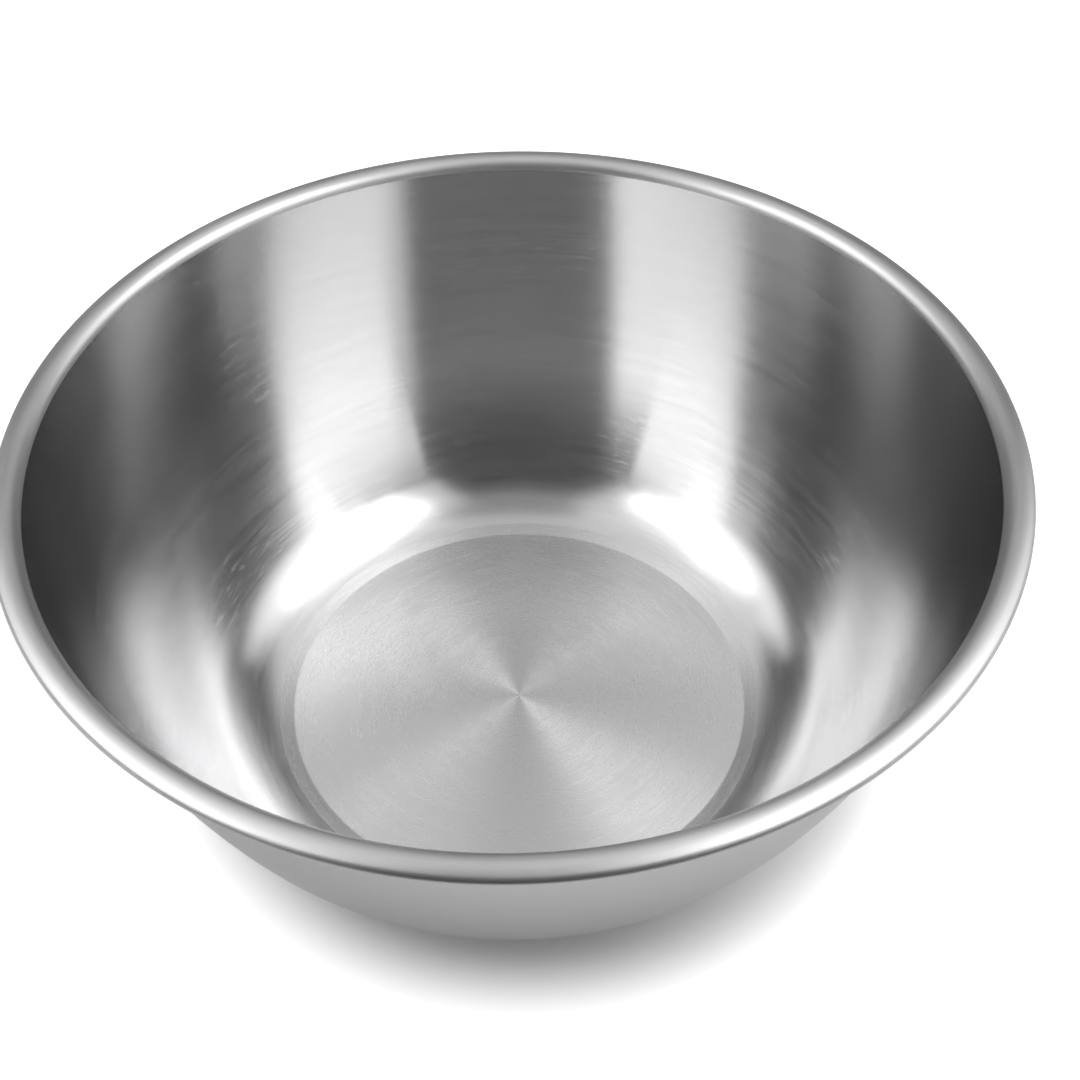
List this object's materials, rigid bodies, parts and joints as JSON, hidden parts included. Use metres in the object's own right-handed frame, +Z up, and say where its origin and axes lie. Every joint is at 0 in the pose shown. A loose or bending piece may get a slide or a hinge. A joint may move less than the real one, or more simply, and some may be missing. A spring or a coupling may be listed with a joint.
{
  "type": "stainless steel mixing bowl",
  "caption": "Round deep-drawn stainless steel mixing bowl with a flat stepped base, a knuckle bend, a flared wall that steepens towards the top and a rolled, hemmed rim.",
  "frame": {"origin": "centre of the flat face that the bowl stands on", "axes": "+Z up along the bowl's axis; the bowl is round, so +X and +Y are any two directions square to it"},
  "size_m": [0.265, 0.265, 0.104],
  "materials": {
    "turned_steel": "brushed in circles about the bowl's axis, so that light fans out across the floor",
    "satin_steel": "satin, with fine brush lines round the bowl",
    "polished_steel": "smoother than the wall, burnished by the rolling of the rim"
  },
  "bodies": {
    "root": {"flat_base": "turned_steel", "knuckle": "satin_steel", "side_wall": "satin_steel", "rolled_rim": "polished_steel"}
  },
  "joints": []
}
